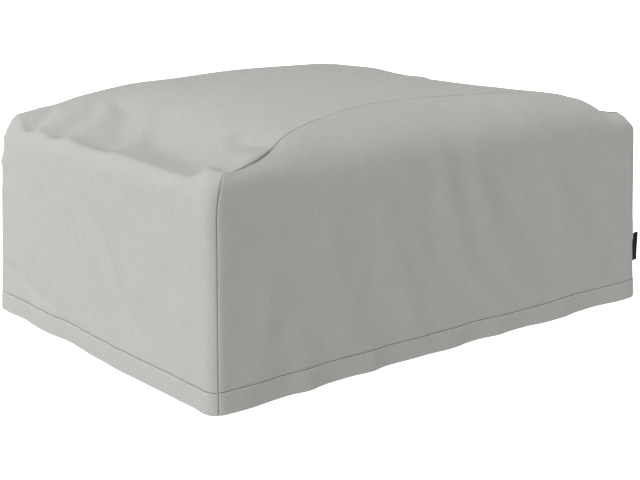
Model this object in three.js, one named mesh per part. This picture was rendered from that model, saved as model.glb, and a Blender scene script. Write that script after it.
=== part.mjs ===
// A loose fabric cover for a rectangular ottoman, in millimetres: X along the long sides, Y across,
// +Z up, with the origin on the floor under the middle. It stands as it hangs over the ottoman,
// which is left out, so it is hollow and open below. One strip runs up a short side, over the top
// and down the other short side. A panel on each long side rolls over the top edge and is sewn to
// the strip up the corners, round the ears and along the top.

import * as THREE from 'three';

// Driving dimensions
const LEFT_END = 491.4; // from the middle to the hem of the left short side, along X
const RIGHT_END = 483.5;
const DEPTH = 700; // along Y at the hem
const LEAN = 0.042; // the walls lean in this far for each millimetre of height
const RIGHT_LEAN = 0.029; // the right short side stands straighter
const CLOTH = 2; // thickness of one layer
const HEM_LAYERS = 2;
const HEM_HEIGHT = 34; // the cloth is turned up inside as far as this
const HEM_DITCH = 1; // how far the hem's stitching draws the outside in
const HEM_EASE = 3; // height over which the ditch and the doubled cloth fade out
const WAVE_REACH = 75; // how far up the wall the hem's waves carry
const SEAM_GAP = 0.3; // between two pieces of cloth
const CORNER_RADIUS = 24; // of the upright corners, seen from above
const SEAM_TURN = 62; // degrees round a corner to its seam, from the short side
const LEFT_TURN = { inset: 20, down: 36 }; // where the left short side turns over into the top
const RIGHT_TURN = { inset: 32, down: 42 };
const ROLL_POWER = 2.75; // a panel starts up the wall and leaves the seam on a slope
const TOP_HALF = 460; // the tables below reach this far each way from the middle
const FRONT_LINE = 255; // the long seams' usual distances from the middle
const BACK_LINE = 280;
const CROWN_LIMIT = 1.1; // the crown's curve across the top runs on this far past those lines
const CREASE_REACH = 70; // how far the crease's own height carries into the top
const CREASE_FLAT = 18; // the top starts level behind a crease, for about this far
const EDGE_REACH = 60; // how far a seam's own line carries into the strip

// At a panel's left and right corner: how far its seam comes in along X round the top, and how deep
// the dent is below that
const FRONT_EARS = { '-1': { inset: 22, dent: 0 }, 1: { inset: 26, dent: 0 } };
const BACK_EARS = { '-1': { inset: 16, dent: 5 }, 1: { inset: 24, dent: 2 } };
const DENT_HEIGHT = 295;
const DENT_WIDTH = 45;

// Mesh steps: distances from an edge, then even steps
const WALL_STEPS = 6;
const ROLL_STEPS = 4;
const LENGTH_EDGE = [0, 8, 20, 40, 70];
const LENGTH_STEPS = 26;
const DEPTH_EDGE = [0, 7, 16, 32, 60];
const DEPTH_STEPS = 14;

// Seam label, a folded tag in the right corner of the front panel
const LABEL = { out: 16, height: 54, bottom: 68, thick: 1.6, turnedBack: 10 };
const LABEL_ROOT = 3.4; // clears the cloth beside the seam

// Rows of a table as objects with named columns
function table(columns, rows) {
  const names = columns.split(' ');
  return rows.map((row) => Object.fromEntries(names.map((name, i) => [name, row[i]])));
}

// The front panel's top seam: its height, how far it lies behind the wall, and how deep the roll is
const FRONT_SEAM = table('x height setback roll', [
  [-460, 346, 12, 38],
  [-435, 347, 17, 38],
  [-400, 350, 27, 42],
  [-354, 362, 41, 58],
  [-304, 382, 55, 80],
  [-232, 396, 69, 96],
  [-140, 406, 78, 102],
  [-40, 408, 81, 102],
  [60, 406, 79, 102],
  [169, 403, 67, 96],
  [225, 401, 61, 90],
  [321, 390, 50, 80],
  [372, 380, 42, 70],
  [398, 367, 36, 58],
  [412, 357, 31, 48],
  [432, 353, 26, 42],
  [460, 350, 18, 40],
]);

// The back panel's
const BACK_SEAM = table('x height setback roll', [
  [-460, 357, 20, 46],
  [-415, 365, 26, 56],
  [-385, 369, 30, 60],
  [-345, 379, 36, 66],
  [-245, 396, 48, 84],
  [-140, 401, 54, 92],
  [0, 407, 56, 94],
  [150, 406, 56, 92],
  [250, 403, 50, 84],
  [320, 393, 42, 72],
  [385, 381, 32, 58],
  [460, 359, 20, 44],
]);

// The top along the middle of the strip
const TOP_MIDDLE = table('x height', [
  [-460, 335],
  [-425, 338],
  [-375, 354],
  [-310, 384],
  [-230, 407],
  [-130, 418],
  [0, 421],
  [120, 414],
  [215, 402],
  [290, 389],
  [350, 377],
  [400, 366],
  [435, 358],
  [460, 352],
]);

// Height of the crease between a short side and the top
const LEFT_CREASE = table('y height', [
  [-330, 346],
  [-290, 341],
  [-245, 334],
  [-110, 337],
  [30, 335],
  [110, 338],
  [160, 335],
  [210, 339],
  [270, 336],
  [330, 350],
]);
const RIGHT_CREASE = table('y height', [
  [-330, 350],
  [-285, 345],
  [-230, 339],
  [-130, 343],
  [-50, 339],
  [40, 345],
  [130, 341],
  [220, 345],
  [280, 346],
  [330, 357],
]);

// How far the hem waves out from each wall
const FRONT_HEM = table('x out', [
  [-485, 0],
  [-440, 3.5],
  [-390, 0],
  [-345, -1.7],
  [-315, 2],
  [-278, -4],
  [-225, -3.5],
  [-185, -0.5],
  [-155, -6],
  [-105, -6],
  [-70, -5],
  [-30, -1.5],
  [5, -2.2],
  [30, -5.5],
  [60, -6],
  [100, 0],
  [125, -2.5],
  [180, -2.5],
  [215, 2.5],
  [275, 2.5],
  [305, -2.3],
  [370, -2],
  [430, 4],
  [485, 0],
]);
const BACK_HEM = table('x out', [
  [-485, 0],
  [-420, 3],
  [-360, -2],
  [-300, 1],
  [-220, -4],
  [-150, -1],
  [-60, -5],
  [20, -2],
  [90, -6],
  [160, -1],
  [240, -4],
  [310, 1],
  [370, -2],
  [430, 3],
  [485, 0],
]);
const LEFT_HEM = table('y out', [
  [-340, 0],
  [-300, -2],
  [-250, 0],
  [-170, 2],
  [-40, 2],
  [20, -1],
  [80, -3],
  [140, 2],
  [190, 2],
  [240, -2],
  [260, -2],
  [300, 1],
  [340, 1],
]);
const RIGHT_HEM = table('y out', [
  [-340, 0],
  [-270, -1],
  [-200, 2],
  [-120, -3],
  [-40, -1],
  [50, -4],
  [130, 1],
  [210, -2],
  [280, 2],
  [340, 0],
]);

// Folds. Each is a soft ridge, or a trough where rise is negative. It runs along one direction from
// start to end. In the other direction its middle line goes through from, second, third and to, a
// third of the way apart. It is narrow at its start and wide at its end, and lean makes one flank
// steeper than the other.
const FOLD_COLUMNS = 'start end from second third to narrow wide rise lean';

// Down the long walls: along Z, across X
const FRONT_FOLDS = table(FOLD_COLUMNS, [
  [335, 30, -37, -11, 28, 150, 22, 36, 3.6, 0],
  [325, 30, 41, 66, 112, 205, 22, 36, 3.3, 0],
  [320, 50, 206, 250, 290, 358, 24, 66, 3.2, 0.1],
  [230, 130, 362, 385, 418, 455, 18, 24, 1.8, 0],
  [290, 30, -165, -140, -110, -80, 24, 28, 2.3, 0.2],
  [270, 50, -238, -265, -232, -246, 26, 24, 1.6, 0],
  [190, 25, -382, -390, -394, -384, 22, 26, 1.8, 0],
  [300, 30, -68, -56, -26, 46, 24, 26, -1.5, 0],
  [280, 35, 100, 146, 222, 300, 22, 34, -2.4, 0],
  [240, 100, 304, 340, 385, 425, 20, 24, -1.7, 0],
  [235, 30, -188, -184, -174, -140, 24, 24, -1.4, 0],
  [125, 80, -355, -358, -360, -362, 20, 20, -1.2, 0],
  [95, 25, -290, -287, -284, -280, 28, 28, -1.6, 0],
]);
const BACK_FOLDS = table(FOLD_COLUMNS, [
  [320, 60, 60, 50, 18, -30, 14, 36, 5, 0],
  [300, 70, -130, -150, -190, -250, 16, 34, 5, 0],
  [270, 90, 230, 236, 230, 215, 24, 30, 3, 0],
  [260, 120, -345, -372, -400, -420, 18, 22, 4, 0],
]);

// Down the short walls: along Z, across Y
const LEFT_FOLDS = table(FOLD_COLUMNS, [
  [235, 50, 76, 58, 24, -25, 15, 24, -4, 0],
  [235, 80, -22, -44, -82, -135, 15, 24, -4, 0],
  [95, 50, 310, 265, 212, 150, 40, 45, -3, 0],
  [245, 150, 280, 283, 290, 300, 22, 22, 3, 0],
]);
const RIGHT_FOLDS = table(FOLD_COLUMNS, [
  [250, 60, -60, -42, -10, 40, 18, 28, -4, 0],
  [260, 90, 90, 108, 142, 190, 16, 26, -4, 0],
  [240, 130, -240, -254, -271, -290, 20, 22, 3, 0],
]);

// Up the slopes behind the creases: along X, across Y
const SLOPE_FOLDS = table(FOLD_COLUMNS, [
  [-465, -395, 262, 266, 276, 292, 18, 22, -5, 0],
  [-470, -345, 210, 210, 214, 232, 20, 26, 4, 0],
  [-450, -345, 158, 176, 184, 210, 18, 26, -5, 0],
  [-470, -340, 96, 116, 140, 176, 24, 28, 4, 0],
  [-440, -325, 25, 36, 80, 142, 34, 40, -9, 0],
  [-465, -330, -46, -32, 10, 70, 24, 34, 4, 0],
  [-475, -345, -306, -262, -220, -196, 16, 28, 7, 0],
  [-430, -330, -268, -262, -258, -250, 14, 20, -5, 0],
  [455, 375, -262, -256, -250, -244, 24, 34, -11, 0],
  [470, 360, -194, -170, -138, -104, 22, 30, 4, 0],
  [450, 340, -120, -98, -72, -50, 32, 40, -8, 0],
  [470, 350, 6, -4, -10, -16, 22, 32, 4, 0],
  [450, 355, 78, 74, 62, 40, 26, 34, -7, 0],
  [470, 365, 150, 152, 146, 130, 20, 28, 4, 0],
  [455, 370, 206, 214, 226, 240, 22, 28, -6, 0],
]);

// Along the hollow just behind the left crease: along Y, across X
const HOLLOW_FOLDS = table(FOLD_COLUMNS, [
  [20, -270, -352, -382, -394, -412, 34, 32, -13, 0],
]);

const FOLD_FADE = 0.16; // share of its length over which a fold comes up at each end

const { clamp, degToRad, lerp, smoothstep } = THREE.MathUtils;
const SEAM_IN = CORNER_RADIUS * (1 - Math.cos(degToRad(SEAM_TURN))); // the seam from the short wall
const SEAM_BACK = CORNER_RADIUS * (1 - Math.sin(degToRad(SEAM_TURN))); // and from the long wall

// A smooth curve through a table's rows
function curve(rows, key, column) {
  const slopeAt = (i) => {
    const before = rows[Math.max(i - 1, 0)];
    const after = rows[Math.min(i + 1, rows.length - 1)];
    return (after[column] - before[column]) / (after[key] - before[key]);
  };
  return (at) => {
    const next = rows.findIndex((row) => row[key] >= at);
    const i = next < 0 ? rows.length - 2 : Math.max(next - 1, 0);
    const [a, b] = [rows[i], rows[i + 1]];
    const span = b[key] - a[key];
    const s = clamp((at - a[key]) / span, 0, 1);
    const ease = s * s * (3 - 2 * s);
    const bend = s * (1 - s) * span;
    const level = lerp(a[column], b[column], ease);
    return level + bend * ((1 - s) * slopeAt(i) - s * slopeAt(i + 1));
  };
}

// How far a wall's square edge is rounded back at a distance from that edge
function roundOff(distance, radius) {
  const reach = Math.max(radius - distance, 0);
  return radius - Math.sqrt(Math.max(radius * radius - reach * reach, 0));
}

// The middle line of a fold: the cubic through its four points
function foldMiddle(fold, t) {
  const ends = (1 - 3 * t) * (2 - 3 * t) * (fold.from * (1 - t) + fold.to * t) / 2;
  const thirds = 4.5 * t * (1 - t) * (fold.second * (2 - 3 * t) + fold.third * (3 * t - 1));
  return ends + thirds;
}

// The sum of a table's folds at one place
function foldLift(folds, along, across) {
  let lift = 0;
  for (const fold of folds) {
    const run = (along - fold.start) / (fold.end - fold.start);
    const t = clamp(run, -FOLD_FADE, 1 + FOLD_FADE);
    const fade = smoothstep(t, -FOLD_FADE, FOLD_FADE) * smoothstep(1 - t, -FOLD_FADE, FOLD_FADE);
    const offset = across - foldMiddle(fold, t);
    const width = lerp(fold.narrow, fold.wide, clamp(t, 0, 1));
    const away = offset / (width * (1 - fold.lean * Math.sign(offset)));
    lift += fold.rise * fade * Math.exp(-away * away);
  }
  return lift;
}

// From the middle to a short wall, on the side where end is -1 or 1, and to a long wall
const halfLength = (z, end) => (end < 0 ? LEFT_END - LEAN * z : RIGHT_END - RIGHT_LEAN * z);
const halfDepth = (z) => DEPTH / 2 - LEAN * z;
const waveFade = (z) => 1 - smoothstep(z, 0, WAVE_REACH);

// Rows of the mesh from the hem up the wall and over the turn at its top. share is how far the row
// has gone from its own z to the top of the wall, and turn is its angle round the turn.
function wallRows() {
  const hem = [0, HEM_HEIGHT - HEM_EASE, HEM_HEIGHT, HEM_HEIGHT + HEM_EASE];
  const rows = hem.map((z) => ({ z, share: 0, turn: 0 }));
  for (let i = 1; i <= WALL_STEPS; i += 1) {
    rows.push({ z: HEM_HEIGHT + HEM_EASE, share: i / WALL_STEPS, turn: 0 });
  }
  for (let i = 1; i <= ROLL_STEPS; i += 1) {
    rows.push({ z: 0, share: 1, turn: degToRad((90 * i) / ROLL_STEPS) });
  }
  return rows;
}

const ditchAt = (row) => (row.share === 0 && row.z === HEM_HEIGHT ? HEM_DITCH : 0);

// A panel row's height, its inset from the wall, and how far out and up it faces
function panelSection(row, height, setback, roll) {
  const turned = Math.sin(row.turn);
  const z = lerp(row.z, height - roll, row.share) + roll * turned;
  const slope = (setback * ROLL_POWER * turned ** (ROLL_POWER - 1)) / roll;
  const out = 1 / Math.hypot(1, slope);
  return { z, inset: setback * turned ** ROLL_POWER + ditchAt(row), out, up: slope * out };
}

// The same for a row of a short wall, which turns over the crease in a quarter of an ellipse
function wallSection(row, crease, turn) {
  const [out, up] = [Math.cos(row.turn), Math.sin(row.turn)];
  const z = lerp(row.z, crease - turn.down, row.share) + turn.down * up;
  return { z, inset: turn.inset * (1 - out) + ditchAt(row), out, up };
}

// Thickness of the cloth at a height: doubled in the hem
function thicknessAt(z) {
  const single = smoothstep(z, HEM_HEIGHT - HEM_EASE, HEM_HEIGHT + HEM_EASE);
  return CLOTH * lerp(HEM_LAYERS, 1, single);
}

// Shares of a length, from distances near both ends and even steps between them
function shares(edge, steps, length) {
  const near = edge.map((distance) => distance / length);
  const first = near[near.length - 1];
  const even = [];
  for (let i = 1; i < steps; i += 1) {
    even.push(lerp(first, 1 - first, i / steps));
  }
  return [...near, ...even, ...near.map((share) => 1 - share).reverse()];
}

const ROWS = wallRows();
const COLUMNS = shares(LENGTH_EDGE, LENGTH_STEPS, 2 * TOP_HALF);
const ACROSS = shares(DEPTH_EDGE, DEPTH_STEPS, DEPTH);

function panelShape(side, seam, ears, folds, hem) {
  return {
    side,
    ears,
    folds,
    height: curve(seam, 'x', 'height'),
    setback: curve(seam, 'x', 'setback'),
    roll: curve(seam, 'x', 'roll'),
    wave: curve(hem, 'x', 'out'),
  };
}

const FRONT = panelShape(-1, FRONT_SEAM, FRONT_EARS, FRONT_FOLDS, FRONT_HEM);
const BACK = panelShape(1, BACK_SEAM, BACK_EARS, BACK_FOLDS, BACK_HEM);

const sectionOf = (panel, row, x) => (
  panelSection(row, panel.height(x), panel.setback(x), panel.roll(x)));

// Distance from the middle to a panel's edge, at one row
function panelReach(panel, row, end) {
  const ear = panel.ears[end];
  const { z } = sectionOf(panel, row, end * TOP_HALF);
  const dent = ear.dent * Math.exp(-(((z - DENT_HEIGHT) / DENT_WIDTH) ** 2));
  return halfLength(z, end) - SEAM_IN - dent - ear.inset * (1 - Math.cos(row.turn));
}

// A point on the outside of a long panel
function panelPoint(panel, row, share) {
  const at = sectionOf(panel, row, lerp(-TOP_HALF, TOP_HALF, share));
  const x = lerp(-panelReach(panel, row, -1), panelReach(panel, row, 1), share);
  const corner = roundOff(halfLength(at.z, x) - Math.abs(x), CORNER_RADIUS);
  const lift = foldLift(panel.folds, at.z, x) + panel.wave(x) * waveFade(at.z);
  const y = halfDepth(at.z) - at.inset - corner + lift * at.out;
  return new THREE.Vector3(x, panel.side * y, at.z + lift * at.up);
}

const frontHeight = FRONT.height;
const backHeight = BACK.height;
const middleHeight = curve(TOP_MIDDLE, 'x', 'height');

function endShape(crease, turn, folds, hem) {
  return { turn, folds, crease: curve(crease, 'y', 'height'), wave: curve(hem, 'y', 'out') };
}

const ENDS = {
  '-1': endShape(LEFT_CREASE, LEFT_TURN, LEFT_FOLDS, LEFT_HEM),
  1: endShape(RIGHT_CREASE, RIGHT_TURN, RIGHT_FOLDS, RIGHT_HEM),
};
const topReach = (end, y) => (
  halfLength(ENDS[end].crease(y), end) - ENDS[end].turn.inset);
const topFolds = (x, y) => foldLift(SLOPE_FOLDS, x, y) + foldLift(HOLLOW_FOLDS, y, x);

// Height of the strip's top before folds: a crown through three lines, drawn to the creases
function crownHeight(x, y) {
  const s = clamp(y / (y < 0 ? FRONT_LINE : BACK_LINE), -CROWN_LIMIT, CROWN_LIMIT);
  const crownAt = (at) => frontHeight(at) * (s * s - s) / 2
    + middleHeight(at) * (1 - s * s)
    + backHeight(at) * (s * s + s) / 2;
  const end = Math.sign(x) || 1;
  const inward = topReach(end, y) - Math.abs(x);
  const level = inward * Math.exp(-((inward / CREASE_FLAT) ** 2));
  const carried = 1 - smoothstep(inward, 0, CREASE_REACH);
  return crownAt(x + end * level) + carried * (ENDS[end].crease(y) - crownAt(end * TOP_HALF));
}

// The strip's own form at a station, for a distance y from the middle
function stripForm(station, y) {
  if (station.share !== undefined) {
    const x = lerp(-topReach(-1, y), topReach(1, y), station.share);
    return new THREE.Vector3(x, y, crownHeight(x, y) + topFolds(x, y));
  }
  const { row, end } = station;
  const at = wallSection(row, ENDS[end].crease(y), ENDS[end].turn);
  const corner = roundOff(halfDepth(at.z) - Math.abs(y), CORNER_RADIUS);
  const lift = foldLift(ENDS[end].folds, at.z, y) + ENDS[end].wave(y) * waveFade(at.z);
  const x = end * (halfLength(at.z, end) - at.inset - corner + lift * at.out);
  return new THREE.Vector3(x, y, at.z + (lift + topFolds(x, y)) * at.up);
}

// The strip's stations, from the left hem over the top to the right hem, each with the row and
// column of the panels' grids that meets it
function stripStations() {
  const last = ROWS.length - 1;
  const left = ROWS.map((row, i) => ({ row, end: -1, at: [i, 0] }));
  const top = COLUMNS.slice(1, -1).map((share, i) => ({ share, at: [last, i + 1] }));
  const right = ROWS.map((row, i) => ({ row, end: 1, at: [i, COLUMNS.length - 1] })).reverse();
  return [...left, ...top, ...right];
}

const STATIONS = stripStations();

// The strip's outside, drawn to the two panels' seams
function stripRow(station, frontSeam, backSeam) {
  const drawn = (seam) => seam.clone().sub(stripForm(station, seam.y));
  const [toFront, toBack] = [drawn(frontSeam), drawn(backSeam)];
  return ACROSS.map((share) => {
    const y = lerp(frontSeam.y, backSeam.y, share);
    const nearFront = 1 - smoothstep(y - frontSeam.y, 0, EDGE_REACH);
    const nearBack = 1 - smoothstep(backSeam.y - y, 0, EDGE_REACH);
    return stripForm(station, y)
      .add(toFront.clone().multiplyScalar(nearFront))
      .add(toBack.clone().multiplyScalar(nearBack))
      .setY(y);
  });
}

// A sheet's outside points with their outward normals. turn is 1 where columns cross rows face out.
function sheetOf(points, turn) {
  const [rows, columns] = [points.length - 1, points[0].length - 1];
  const normals = points.map((line, i) => line.map((point, j) => {
    const next = points[Math.min(i + 1, rows)][j].clone();
    const rowStep = next.sub(points[Math.max(i - 1, 0)][j]);
    const columnStep = line[Math.min(j + 1, columns)].clone().sub(line[Math.max(j - 1, 0)]);
    const normal = columnStep.cross(rowStep).multiplyScalar(turn);
    const onFloor = point.z < HEM_EASE;
    return (onFloor ? normal.setZ(0) : normal).normalize();
  }));
  return { points, normals, turn };
}

// Parts the strip from a panel along their seam. Both get the same normals there, and each edge is
// drawn back by half the gap.
function partSeam(strip, panel, column, inner) {
  const seam = strip.points.map((line) => line[column].clone());
  const last = seam.length - 1;
  STATIONS.forEach((station, k) => {
    const [i, j] = station.at;
    const normal = strip.normals[k][column].clone().add(panel.normals[i][j]).normalize();
    const along = seam[Math.min(k + 1, last)].clone().sub(seam[Math.max(k - 1, 0)]);
    const aside = along.cross(normal).setLength(SEAM_GAP / 2);
    const inward = strip.points[k][inner].clone().sub(seam[k]);
    if (aside.dot(inward) < 0) {
      aside.negate();
    }
    strip.points[k][column].add(aside);
    panel.points[i][j].sub(aside);
    strip.normals[k][column] = normal;
    panel.normals[i][j] = normal;
  });
}

// The closed solid of a sheet, from its outside and its thickness
function sheetGeometry({ points, normals, turn }) {
  const [rows, columns] = [points.length, points[0].length];
  const outside = points.flat();
  const inside = outside.map((point, i) => {
    const normal = normals.flat()[i];
    return point.clone().addScaledVector(normal, -thicknessAt(point.z));
  });
  const at = (i, j) => i * columns + j;
  const under = (vertex) => vertex + outside.length;
  const faces = [];
  const quad = (a, b, c, d) => faces.push(a, b, c, a, c, d);
  for (let i = 0; i < rows - 1; i += 1) {
    for (let j = 0; j < columns - 1; j += 1) {
      const [a, b, c, d] = [at(i, j), at(i, j + 1), at(i + 1, j + 1), at(i + 1, j)];
      quad(a, b, c, d);
      quad(under(d), under(c), under(b), under(a));
    }
  }
  const ring = [];
  for (let j = 0; j < columns - 1; j += 1) ring.push(at(0, j));
  for (let i = 0; i < rows - 1; i += 1) ring.push(at(i, columns - 1));
  for (let j = columns - 1; j > 0; j -= 1) ring.push(at(rows - 1, j));
  for (let i = rows - 1; i > 0; i -= 1) ring.push(at(i, 0));
  const vertices = [...outside, ...inside];
  const reach = (a, b) => vertices[a].distanceTo(vertices[b]);
  ring.forEach((a, k) => {
    const b = ring[(k + 1) % ring.length];
    const [underA, underB] = [under(a), under(b)];
    // the shorter diagonal, so that the rims of two sheets match along their seam
    if (reach(a, underB) < reach(b, underA)) {
      quad(a, underA, underB, b);
    } else {
      quad(underA, underB, b, a);
    }
  });
  if (turn < 0) {
    faces.reverse();
  }
  const geometry = new THREE.BufferGeometry().setFromPoints(vertices);
  geometry.setIndex(faces);
  geometry.computeVertexNormals();
  return geometry;
}

// The label's solid: a flat tag with a rounded fold, leaning with the corner that it is sewn into
function labelGeometry() {
  const half = LABEL.thick / 2;
  const outline = new THREE.Shape();
  outline.moveTo(LABEL_ROOT, -half);
  outline.lineTo(LABEL.out - half, -half);
  outline.absarc(LABEL.out - half, 0, half, -Math.PI / 2, Math.PI / 2, false);
  outline.lineTo(LABEL_ROOT, half);
  outline.closePath();
  const settings = { depth: LABEL.height, bevelEnabled: false, curveSegments: 4 };
  const geometry = new THREE.ExtrudeGeometry(outline, settings);
  geometry.rotateZ(degToRad(LABEL.turnedBack));
  return geometry.applyMatrix4(new THREE.Matrix4().makeShear(0, 0, 0, 0, -RIGHT_LEAN, LEAN));
}

function named(name, geometry, material) {
  const mesh = new THREE.Mesh(geometry, material);
  mesh.name = name;
  return mesh;
}

function buildCover() {
  const panelGrid = (panel) => ROWS.map((row) => COLUMNS.map((u) => panelPoint(panel, row, u)));
  const front = sheetOf(panelGrid(FRONT), 1);
  const back = sheetOf(panelGrid(BACK), -1);
  const seamPoint = (panel, { at: [i, j] }) => panel.points[i][j];
  const rows = STATIONS.map((station) => (
    stripRow(station, seamPoint(front, station), seamPoint(back, station))));
  const strip = sheetOf(rows, -1);
  const lastAcross = ACROSS.length - 1;
  partSeam(strip, front, 0, 1);
  partSeam(strip, back, lastAcross, lastAcross - 1);

  const linen = new THREE.MeshStandardMaterial({ color: '#b9b7b3', roughness: 0.95 });
  const ribbon = new THREE.MeshStandardMaterial({ color: '#0b0b0c', roughness: 0.8 });
  const label = named('label', labelGeometry(), ribbon);
  const labelX = halfLength(LABEL.bottom, 1) - SEAM_IN;
  const labelY = halfDepth(LABEL.bottom) - SEAM_BACK;
  label.position.set(labelX, -labelY, LABEL.bottom);

  const cover = new THREE.Group();
  cover.add(named('main_strip', sheetGeometry(strip), linen));
  cover.add(named('front_panel', sheetGeometry(front), linen));
  cover.add(named('back_panel', sheetGeometry(back), linen));
  cover.add(label);
  return cover;
}

export default buildCover();
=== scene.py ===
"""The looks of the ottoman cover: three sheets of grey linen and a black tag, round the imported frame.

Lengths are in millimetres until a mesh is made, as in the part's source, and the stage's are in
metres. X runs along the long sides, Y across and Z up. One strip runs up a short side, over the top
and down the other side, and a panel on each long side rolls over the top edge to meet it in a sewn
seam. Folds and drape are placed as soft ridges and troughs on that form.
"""

import math

import bpy
import numpy as np
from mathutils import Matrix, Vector


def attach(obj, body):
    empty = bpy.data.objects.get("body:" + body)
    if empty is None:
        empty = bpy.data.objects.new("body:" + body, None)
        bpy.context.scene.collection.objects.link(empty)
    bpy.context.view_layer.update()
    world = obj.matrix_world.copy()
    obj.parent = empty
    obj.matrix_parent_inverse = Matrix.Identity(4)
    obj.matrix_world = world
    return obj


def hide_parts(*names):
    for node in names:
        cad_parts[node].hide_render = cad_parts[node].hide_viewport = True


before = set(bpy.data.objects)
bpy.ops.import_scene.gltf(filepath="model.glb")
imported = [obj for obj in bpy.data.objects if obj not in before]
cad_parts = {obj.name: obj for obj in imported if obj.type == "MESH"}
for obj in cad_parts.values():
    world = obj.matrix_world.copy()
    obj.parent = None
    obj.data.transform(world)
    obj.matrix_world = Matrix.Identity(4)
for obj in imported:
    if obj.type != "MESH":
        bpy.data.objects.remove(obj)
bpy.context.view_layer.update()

MM = 0.001

# ---------------------------------------------------------------- sizes

LEFT_END = 491.4  # from the middle to the hem of the left short side, along X
RIGHT_END = 483.5
DEPTH = 700.0  # along Y at the hem
LEAN = 0.042  # the walls lean in this far for each millimetre of height
RIGHT_LEAN = 0.029  # except the right short side, which is steeper
CLOTH = 1.3  # thickness of one layer
HEM_LAYERS = 2
HEM_HEIGHT = 34.0  # up to its row of stitches
CORNER_RADIUS = 24.0  # of the upright corners, seen from above
SEAM_TURN = math.radians(62)  # how far round a corner its seam lies, from the short side
SEAM_IN = CORNER_RADIUS * (1 - math.cos(SEAM_TURN))  # and so how far in along X
LEFT_TURN = 20, 36  # how far in and how far down a short side turns over into the top
RIGHT_TURN = 32, 42
ENDS = np.array([-1, 1])  # the left end and the right
# A column for a panel's left corner and one for its right. The rows say how far the seam comes in
# along X as it turns over the top, and how deep, how high up and how wide the dent below that is.
FRONT_EARS = np.array([[22, 26], [0, 8], [308, 334], [45, 20]])
BACK_EARS = np.array([[16, 24], [14, 2], [304, 308], [38, 45]])
WAVE_REACH = 75.0  # how far up the wall the hem's waves carry
TOP_HALF = 460.0  # the seams' tables below run this far each way from the middle
FRONT_LINE = 255.0  # the long seams' usual distances from the middle
BACK_LINE = 280.0
CROWN_LIMIT = 1.1  # as a share of those distances, how far out the crown's curve runs on
CREASE_REACH = 70.0  # how far the crease's own height carries into the top
CREASE_FLAT = 18.0  # the top starts level behind a crease, for about this far
EDGE_REACH = 60.0  # how far a seam's own line carries into the strip
SEAM_GAP = 0.03  # between the two sheets of a seam
SEAM_LEVELS = 305.0, 335.0  # a seam is up the corner below the first height, on top above the other
LIP_RADIUS = 2.4  # both edges of a seam turn down into it up the corners
SWELL_ROUND = 18.0  # the strip swells up from its seam in a curve this wide
SWELL_REACH = 70.0  # and its swelling fades out this far from the seam
SWELL_OVER = 0.8  # as a share of its height, how far the swelling leans out over the seam
SWELL_LEAN = 12.0  # and how far from the seam that lean fades
CALM_REACH = 25.0  # the cloth is more even this near a seam
CALM_SHARE = 0.35  # and has this share of its unevenness at the seam itself


def table(columns, rows):
    """Rows of numbers as one array for each named column."""
    names = columns.split()
    return {name: np.array([row[i] for row in rows], float) for i, name in enumerate(names)}


# How high each long seam lies, how far in from the wall, how far below it the panel starts to roll
# in, and how late in that roll it turns inwards
SEAM_COLUMNS = "height", "setback", "roll", "sharp"
FRONT_SEAM = table("x height setback roll sharp", [
    (-460, 346, 11, 60, 5.0),
    (-435, 348, 14, 64, 5.4),
    (-400, 354, 20, 68, 5.8),
    (-372, 360, 30, 76, 5.2),
    (-348, 367, 40, 88, 4.5),
    (-324, 377, 49, 98, 3.8),
    (-300, 384, 55, 104, 3.3),
    (-232, 396, 69, 104, 2.9),
    (-140, 406, 78, 102, 2.75),
    (-40, 408, 81, 102, 2.75),
    (60, 406, 79, 102, 2.75),
    (169, 403, 67, 96, 2.75),
    (225, 401, 61, 90, 2.75),
    (321, 390, 50, 80, 2.75),
    (372, 380, 42, 70, 2.75),
    (402, 367, 36, 58, 2.75),
    (416, 357, 31, 48, 2.75),
    (432, 353, 26, 42, 2.75),
    (460, 350, 18, 40, 2.75),
])
BACK_SEAM = table("x height setback roll sharp", [
    (-460, 357, 20, 56, 3.4),
    (-415, 365, 26, 64, 3.2),
    (-385, 369, 30, 68, 3.0),
    (-345, 379, 36, 74, 2.9),
    (-245, 396, 48, 86, 2.75),
    (-140, 401, 54, 92, 2.75),
    (0, 407, 56, 94, 2.75),
    (150, 406, 56, 92, 2.75),
    (250, 403, 50, 84, 2.75),
    (320, 393, 42, 74, 2.9),
    (385, 381, 32, 64, 3.1),
    (460, 359, 20, 54, 3.4),
])
# How deep each seam lies between its edges along the top, and how far the strip swells up beside it
FRONT_LIP = table("x depth rise", [
    (-450, 3.6, 0),
    (-441, 0.7, 0),
    (-431, 0.1, 1.0),
    (-422, 0.4, 4.0),
    (-412, 0.8, 6.5),
    (-398, 0.9, 8.0),
    (-376, 0.9, 8.5),
    (-345, 0.8, 6.5),
    (-308, 1.2, 3.2),
    (-265, 1.8, 1.0),
    (-200, 2.0, 0),
    (-130, 1.7, 0),
    (-40, 1.2, 0),
    (50, 0.7, 0),
    (180, 0.4, 0),
    (340, 0.5, 0),
    (410, 0.5, 0.5),
    (434, 0.7, 0),
    (450, 1.8, 0),
])
BACK_LIP = table("x depth rise", [
    (-450, 2.2, 0),
    (-400, 1.4, 2.5),
    (-340, 1.4, 3.5),
    (-250, 1.6, 0.5),
    (0, 1.2, 0),
    (200, 1.4, 0),
    (340, 1.3, 3.0),
    (410, 1.6, 2.0),
    (450, 2.2, 0),
])
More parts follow.
